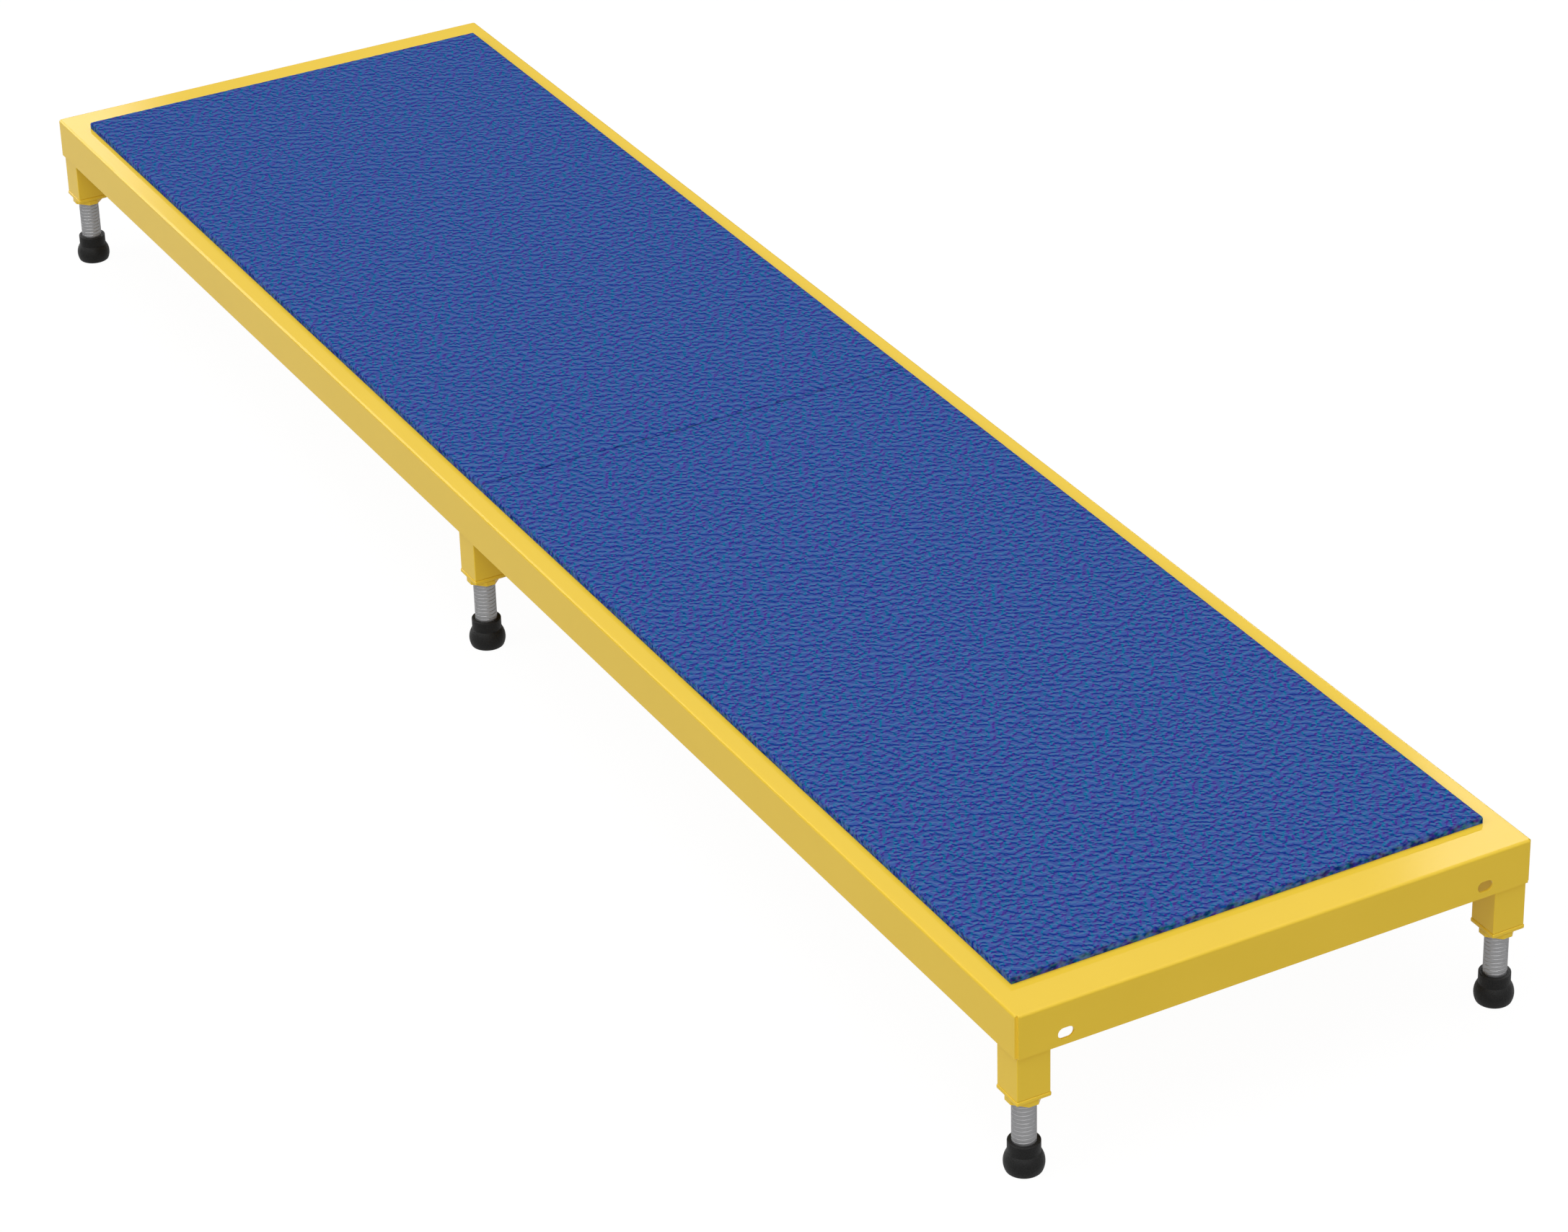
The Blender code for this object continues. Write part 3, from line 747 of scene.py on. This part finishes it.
def deck_shell(paint):
    """The folded pan: one sheet, four flanges, a notch at each corner, two slots in each end."""
    low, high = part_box("deck_pan")
    form = bmesh.new()
    bmesh.ops.create_grid(form, x_segments=1, y_segments=1, size=1.0)
    flat = (high.x - BEND_OUTSIDE, high.y - BEND_OUTSIDE, 1)
    bmesh.ops.scale(form, verts=form.verts, vec=flat)
    bmesh.ops.translate(form, verts=form.verts, vec=(0, 0, high.z))
    for edge in list(form.edges):
        middle = (edge.verts[0].co + edge.verts[1].co) / 2
        fold_down(form, edge, Vector((middle.x, middle.y, 0)).normalized(), high.z - low.z)
    bmesh.ops.recalc_face_normals(form, faces=form.faces)
    top = max(form.faces, key=lambda face: face.calc_area())
    if top.normal.z < 0:
        bmesh.ops.reverse_faces(form, faces=form.faces)
    shell = linked("deck_shell", mesh_of(form, "deck_shell"))
    wall = shell.modifiers.new("wall", "SOLIDIFY")
    wall.thickness = SHEET
    wall.offset = -1
    wall.use_even_offset = True
    cutters = []
    for side_x in (-1, 1):
        for side_y in (-1, 1):
            place = (side_x * (high.x - SHEET / 2), side_y * (high.y - SLOT_FROM_SIDE),
                     high.z - SLOT_FROM_TOP)
            cutters.append(slot_cutter(place))
            boolean = shell.modifiers.new("slot", "BOOLEAN")
            boolean.operation = "DIFFERENCE"
            boolean.object = cutters[-1]
    applied(shell)
    for cutter in cutters:
        bpy.data.objects.remove(cutter)
    shade(shell.data)
    softened(shell, COAT_ROUNDING)
    finished(shell, "frame", "yellow_paint", paint, "deck_pan")


def stiffener_channel(name, node, paint):
    """Hat-section channel across the underside."""
    low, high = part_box(node)
    middle = (low.x + high.x) / 2
    half_web = (STIFFENER_WEB - STIFFENER_SHEET) / 2
    lip_end = half_web + STIFFENER_LIP
    upper = high.z - STIFFENER_SHEET / 2
    lower = low.z + STIFFENER_SHEET / 2
    outline = [(-lip_end, upper), (-half_web, upper), (-half_web, lower),
               (half_web, lower), (half_web, upper), (lip_end, upper)]
    form = bmesh.new()
    verts = [form.verts.new((middle + across, low.y, up)) for across, up in outline]
    edges = [form.edges.new(pair) for pair in zip(verts, verts[1:])]
    swept = bmesh.ops.extrude_edge_only(form, edges=edges)
    far = [part for part in swept["geom"] if isinstance(part, bmesh.types.BMVert)]
    bmesh.ops.translate(form, verts=far, vec=(0, high.y - low.y, 0))
    bends = [edge for edge in form.edges if len(edge.link_faces) == 2]
    bmesh.ops.bevel(form, geom=bends, offset=STIFFENER_BEND, segments=STIFFENER_BEND_STEPS, profile=0.5,
                    affect="EDGES")
    channel = linked(name, mesh_of(form, name))
    wall = channel.modifiers.new("wall", "SOLIDIFY")
    wall.thickness = STIFFENER_SHEET
    wall.offset = 0
    wall.use_even_offset = True
    applied(channel)
    shade(channel.data)
    softened(channel, COAT_ROUNDING)
    finished(channel, "frame", "yellow_paint", paint, node)


def mat_cover(name, node, rubber):
    """One mat, grown on the box that the frame gives it."""
    low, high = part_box(node)
    length, width = high.x - low.x, high.y - low.y
    tree = mat_tree(length, width)
    values = {"Length": length, "Width": width, "Low": low.z, "High": high.z, "Rim": MAT_EDGE_RADIUS,
              "Relief": GRAIN_DEPTH, "Finish": rubber}
    mesh = grown(name, tree, values)
    form = bmesh.new()
    form.from_mesh(mesh)
    rim = [edge for edge in form.edges if edge.is_boundary]
    bmesh.ops.contextual_create(form, geom=rim)
    form.to_mesh(mesh)
    form.free()
    mesh.transform(Matrix.Translation(middle_of(low, high)))
    shade(mesh, MAT_SMOOTH)
    finished(linked(name, mesh), "frame", "mat", rubber, node)


# ---------------------------------------------------------------- legs

def tube_skin(place, paint):
    """Square tube with round corners, open at both ends."""
    low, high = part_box(place + "_leg_tube")
    size = high.x - low.x
    form = bmesh.new()
    outer = rounded_square(size, TUBE_CORNER, CORNER_STEPS)
    inner = rounded_square(size - 2 * TUBE_WALL, TUBE_BORE_CORNER, CORNER_STEPS)
    rings = [[form.verts.new((x, y, z)) for x, y in outline]
             for outline, z in ((outer, low.z), (outer, high.z), (inner, high.z), (inner, low.z))]
    for ring, following in zip(rings, rings[1:] + rings[:1]):
        for index in range(len(ring)):
            after = (index + 1) % len(ring)
            form.faces.new((ring[index], ring[after], following[after], following[index]))
    bmesh.ops.recalc_face_normals(form, faces=form.faces)
    bmesh.ops.translate(form, verts=form.verts, vec=middle_of(low, high))
    mesh = mesh_of(form, place + "_tube")
    shade(mesh)
    skin = softened(linked(place + "_tube", mesh), TUBE_EDGE)
    finished(skin, "frame", "yellow_paint", paint, place + "_leg_tube")


def plate_form(low, high):
    """End plate about its own axis: rounded outline and rolled rims, before its bore is cut."""
    size = high.x - low.x
    form = prism(rounded_square(size, PLATE_CORNER, CORNER_STEPS), low.z, high.z)
    rims = [edge for edge in form.edges if abs(edge.verts[0].co.z - edge.verts[1].co.z) < SAME_HEIGHT]
    bmesh.ops.bevel(form, geom=rims, offset=PLATE_EDGE, segments=PLATE_EDGE_STEPS, profile=0.5,
                    affect="EDGES")
    return form


def end_plate_skin(place, paint):
    """Plate welded under the tube, with the rod's clearance hole."""
    low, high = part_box(place + "_end_plate")
    name = place + "_plate"
    plate = linked(name, mesh_of(plate_form(low, high), name))
    bored(plate, SCREW_RADIUS + PLATE_CLEARANCE, low.z, high.z)
    plate.data.transform(Matrix.Translation(middle_of(low, high)))
    shade(plate.data)
    finished(plate, "frame", "yellow_paint", paint, place + "_end_plate")


def nut_skin(place, paint):
    """Square nut with clipped corners."""
    low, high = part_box(place + "_nut")
    half = (high.x - low.x) / 2
    inner = half - NUT_CORNER_CUT
    outline = [(half, -inner), (half, inner), (inner, half), (-inner, half),
               (-half, inner), (-half, -inner), (-inner, -half), (inner, -half)]
    name = place + "_clipped_nut"
    nut = linked(name, mesh_of(prism(outline, low.z, high.z), name))
    bored(nut, SCREW_RADIUS + THREAD_CLEARANCE, low.z, high.z)
    nut.data.transform(Matrix.Translation(middle_of(low, high)))
    shade(nut.data)
    softened(nut, NUT_EDGE)
    finished(nut, "frame", "yellow_paint", paint, place + "_nut")


def rod_mesh(steel):
    """The threaded rod about its own axis, with its foot end at 0."""
    low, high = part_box("front_left_levelling_screw")
    length = high.z - low.z
    values = {"Radius": SCREW_RADIUS, "Pitch": THREAD_PITCH, "Depth": THREAD_DEPTH, "Length": length,
              "Chamfer": THREAD_CHAMFER, "Finish": steel}
    mesh = grown("threaded_rod", thread_tree(length), values)
    shade(mesh, ROD_SMOOTH)
    return mesh


def foot_mesh():
    """The rubber foot about its own axis: socket, collar, bulb and flat sole."""
    low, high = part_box("front_left_rubber_foot")
    screw_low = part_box("front_left_levelling_screw")[0]
    socket = SCREW_RADIUS + THREAD_CLEARANCE
    floor = screw_low.z - THREAD_CLEARANCE
    sole_span = FOOT_BULB_RADIUS - FOOT_SOLE_ROUNDING
    sole_angle = math.degrees(math.asin((FOOT_SOLE_ROUNDING - FOOT_BULB_CENTRE) / sole_span))
    sole_reach = sole_span * math.cos(math.radians(sole_angle))
    neck_angle = math.degrees(math.acos(FOOT_COLLAR_RADIUS / FOOT_BULB_RADIUS))
    rim = (FOOT_COLLAR_RADIUS - FOOT_COLLAR_ROUNDING, high.z - FOOT_COLLAR_ROUNDING)
    points = [(0, floor), (socket, floor)]
    mouth = (socket + SOCKET_ROUNDING, high.z - SOCKET_ROUNDING)
    points += arc(mouth, SOCKET_ROUNDING, 180, 90, SOCKET_STEPS)
    points += arc(rim, FOOT_COLLAR_ROUNDING, 90, 0, FOOT_COLLAR_STEPS)
    points += arc((0, FOOT_BULB_CENTRE), FOOT_BULB_RADIUS, neck_angle, sole_angle, FOOT_BULB_STEPS)
    sole = (sole_reach, FOOT_SOLE_ROUNDING)
    points += arc(sole, FOOT_SOLE_ROUNDING, sole_angle, -90, FOOT_SOLE_STEPS)[1:]
    points += [(0, low.z)]
    mesh = mesh_of(turned(points, ROUND_STEPS), "foot")
    shade(mesh, FOOT_SMOOTH)
    return mesh


def leg(place, rod, foot, finishes):
    """One leg: painted pieces on the frame, the rod on its screw body and the foot on its own."""
    tube_skin(place, finishes["paint"])
    end_plate_skin(place, finishes["paint"])
    nut_skin(place, finishes["paint"])
    low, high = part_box(place + "_levelling_screw")
    axis_x, axis_y, _ = middle_of(low, high)
    rod_piece = placed(rod, place + "_threaded_rod", (axis_x, axis_y, low.z))
    finished(rod_piece, place + "_screw", "screw_steel", finishes["steel"], place + "_levelling_screw")
    foot_piece = placed(foot, place + "_foot_cap", (axis_x, axis_y, 0))
    finished(foot_piece, place + "_foot", "foot_rubber", finishes["rubber"], place + "_rubber_foot")


# ---------------------------------------------------------------- weld beads on the underside

def bead_paths():
    """Runs of weld: where each tube's open sides meet the deck, and stitches along the stiffeners' lips."""
    deck_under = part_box("deck_pan")[1].z - SHEET
    height = deck_under - WELD_RADIUS * WELD_STANDING
    for row in ROWS:
        for side in SIDES:
            low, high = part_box(f"{row}_{side}_leg_tube")
            inward = -1 if side == "left" else 1
            inner_y = low.y if side == "left" else high.y
            start = low.x + TUBE_CORNER
            stop = high.x - TUBE_CORNER
            if row != "middle":
                y = inner_y + inward * WELD_RADIUS * WELD_OUT
                yield (start, y, height), (stop, y, height)
            for edge_x, outward in ((low.x, -1), (high.x, 1)):
                if (row, outward) in (("front", -1), ("rear", 1)):
                    continue
                x = edge_x + outward * WELD_RADIUS * WELD_OUT
                yield (x, low.y + TUBE_CORNER, height), (x, high.y - TUBE_CORNER, height)
    for row in ROWS:
        low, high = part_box(row + "_stiffener")
        for edge_x, outward in ((low.x, -1), (high.x, 1)):
            x = edge_x + outward * WELD_RADIUS * WELD_OUT
            for index in range(STITCHES):
                middle = low.y + (high.y - low.y) * (index + 0.5) / STITCHES
                start, stop = middle - STITCH_LENGTH / 2, middle + STITCH_LENGTH / 2
                yield (x, start, height), (x, stop, height)


def corner_seam_paths():
    """Upright runs that close the slit between two flanges at each corner of the pan."""
    low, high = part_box("deck_pan")
    for x in (low.x + BEND_OUTSIDE, high.x - BEND_OUTSIDE):
        for y in (low.y + BEND_OUTSIDE, high.y - BEND_OUTSIDE):
            yield (x, y, low.z + CORNER_SEAM_RADIUS), (x, y, high.z - SHEET)


def beads(name, paths, radius, paint):
    """One painted piece of weld bead along all the given runs."""
    form = bmesh.new()
    for start, stop in paths:
        form.edges.new((form.verts.new(start), form.verts.new(stop)))
    values = {"Radius": radius, "Ripple": WELD_RIPPLE, "Swell": WELD_SWELL, "Finish": paint}
    mesh = grown(name, weld_tree(), values, mesh_of(form, "paths"))
    shade(mesh, BEAD_SMOOTH)
    finished(linked(name, mesh), "frame", "yellow_paint", paint)


# ---------------------------------------------------------------- floor, light, camera

def seen_directly(tree):
    """1 for camera, glossy and transmission rays, which see the plain white background."""
    path = tree.nodes.new("ShaderNodeLightPath")
    seen = calc(tree, "MAXIMUM", path.outputs["Is Camera Ray"], path.outputs["Is Glossy Ray"])
    return calc(tree, "MAXIMUM", seen, path.outputs["Is Transmission Ray"])


def studio_floor():
    """Pale floor: mostly an even white, with a share of its real shading so that the shadow stays."""
    form = bmesh.new()
    bmesh.ops.create_grid(form, x_segments=1, y_segments=1, size=FLOOR_HALF)
    floor = linked("studio_floor", mesh_of(form, "studio_floor"))
    floor.location.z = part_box("front_left_rubber_foot")[0].z - FLOOR_GAP
    material = bpy.data.materials.new("white_floor")
    material.use_nodes = True
    tree = material.node_tree
    tree.nodes.remove(tree.nodes["Principled BSDF"])
    matt = tree.nodes.new("ShaderNodeBsdfDiffuse")
    matt.inputs["Color"].default_value = (FLOOR_SHADE, FLOOR_SHADE, FLOOR_SHADE, 1)
    glow = tree.nodes.new("ShaderNodeEmission")
    glow.inputs["Strength"].default_value = FLOOR_GLOW
    blend = tree.nodes.new("ShaderNodeMixShader")
    share = remap(tree, seen_directly(tree), 0, 1, FLOOR_FILL, 1 - SHADOW_SHARE)
    tree.links.new(share, blend.inputs["Fac"])
    tree.links.new(matt.outputs[0], blend.inputs[1])
    tree.links.new(glow.outputs[0], blend.inputs[2])
    tree.links.new(blend.outputs[0], tree.nodes["Material Output"].inputs["Surface"])
    floor.data.materials.append(material)
    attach(floor, "front_left_foot")   # so that the feet still stand on it when they are screwed in or out


def band(tree, value, start, stop, soft):
    """1 where a value lies between two limits, with soft ends."""
    risen = remap(tree, value, start - soft, start + soft, 0, 1)
    fallen = remap(tree, value, stop - soft, stop + soft, 1, 0)
    return calc(tree, "MULTIPLY", risen, fallen)


def studio_world():
    """White to the camera, soft grey as a light, and a dim room with bright cards in the gloss."""
    world = bpy.data.worlds.new("studio")
    bpy.context.scene.world = world
    world.use_nodes = True
    tree = world.node_tree
    direction = parts_of(tree, tree.nodes.new("ShaderNodeTexCoord").outputs["Generated"])
    compass = calc(tree, "ARCTAN2", direction[1], direction[0])
    shown = remap(tree, direction[2], ROOM_DARK_BELOW, ROOM_FULL_ABOVE, 0, ROOM_LIGHT)
    for right, left, foot, top, light in CARDS:
        across = band(tree, compass, math.radians(right), math.radians(left), math.radians(CARD_SOFT))
        low, high = math.sin(math.radians(foot)), math.sin(math.radians(top))
        upright = band(tree, direction[2], low, high, CARD_BLUR)
        card = calc(tree, "MULTIPLY", across, upright)
        shown = calc(tree, "MULTIPLY_ADD", card, calc(tree, "SUBTRACT", light, shown), shown)
    path = tree.nodes.new("ShaderNodeLightPath")
    beyond_sky = calc(tree, "SUBTRACT", shown, SKY_LIGHT)
    gloss = calc(tree, "MULTIPLY", beyond_sky, path.outputs["Is Glossy Ray"])
    seen = calc(tree, "MAXIMUM", path.outputs["Is Camera Ray"], path.outputs["Is Transmission Ray"])
    white = calc(tree, "MULTIPLY", seen, 1 - SKY_LIGHT)
    strength = calc(tree, "ADD", calc(tree, "ADD", gloss, white), SKY_LIGHT)
    tree.links.new(strength, tree.nodes["Background"].inputs["Strength"])
    tree.nodes["Background"].inputs["Color"].default_value = (1, 1, 1, 1)


def soft_sun(name, source, spread, level):
    """A wide, even light from a direction; level is what it gives a surface that faces it."""
    data = bpy.data.lights.new(name, "SUN")
    data.angle = math.radians(spread)
    data.energy = level * math.pi
    lamp = bpy.data.objects.new(name, data)
    bpy.context.scene.collection.objects.link(lamp)
    lamp.rotation_euler = (-Vector(source)).to_track_quat("-Z", "Y").to_euler()


def camera():
    """A long lens above the front left of the platform."""
    data = bpy.data.cameras.new("camera")
    data.sensor_width = SENSOR_WIDTH
    data.lens = LENS
    data.shift_x = SIDE_SHIFT
    data.clip_end = VIEW_END
    eye = bpy.data.objects.new("camera", data)
    bpy.context.scene.collection.objects.link(eye)
    eye.location = EYE
    eye.rotation_euler = [math.radians(angle) for angle in EYE_TURN]
    bpy.context.scene.camera = eye


def build():
    paint, grain, steel, rubber = powder_coat(), pebbled_mat(), rolled_steel(), pebbled_rubber()
    finishes = {"paint": paint, "steel": steel, "rubber": rubber}
    deck_shell(paint)
    for row in ROWS:
        stiffener_channel(row + "_channel", row + "_stiffener", paint)
    for row in ("front", "rear"):
        mat_cover(row + "_mat_cover", row + "_mat", grain)
    rod = rod_mesh(steel)
    foot = foot_mesh()
    for row in ROWS:
        for side in SIDES:
            leg(f"{row}_{side}", rod, foot, finishes)
    beads("weld_beads", bead_paths(), WELD_RADIUS, paint)
    beads("corner_seams", corner_seam_paths(), CORNER_SEAM_RADIUS, paint)
    studio_floor()
    studio_world()
    for name, source, spread, level in LAMPS:
        soft_sun(name, source, spread, level)
    camera()
    bpy.context.scene.view_settings.view_transform = "Standard"


build()
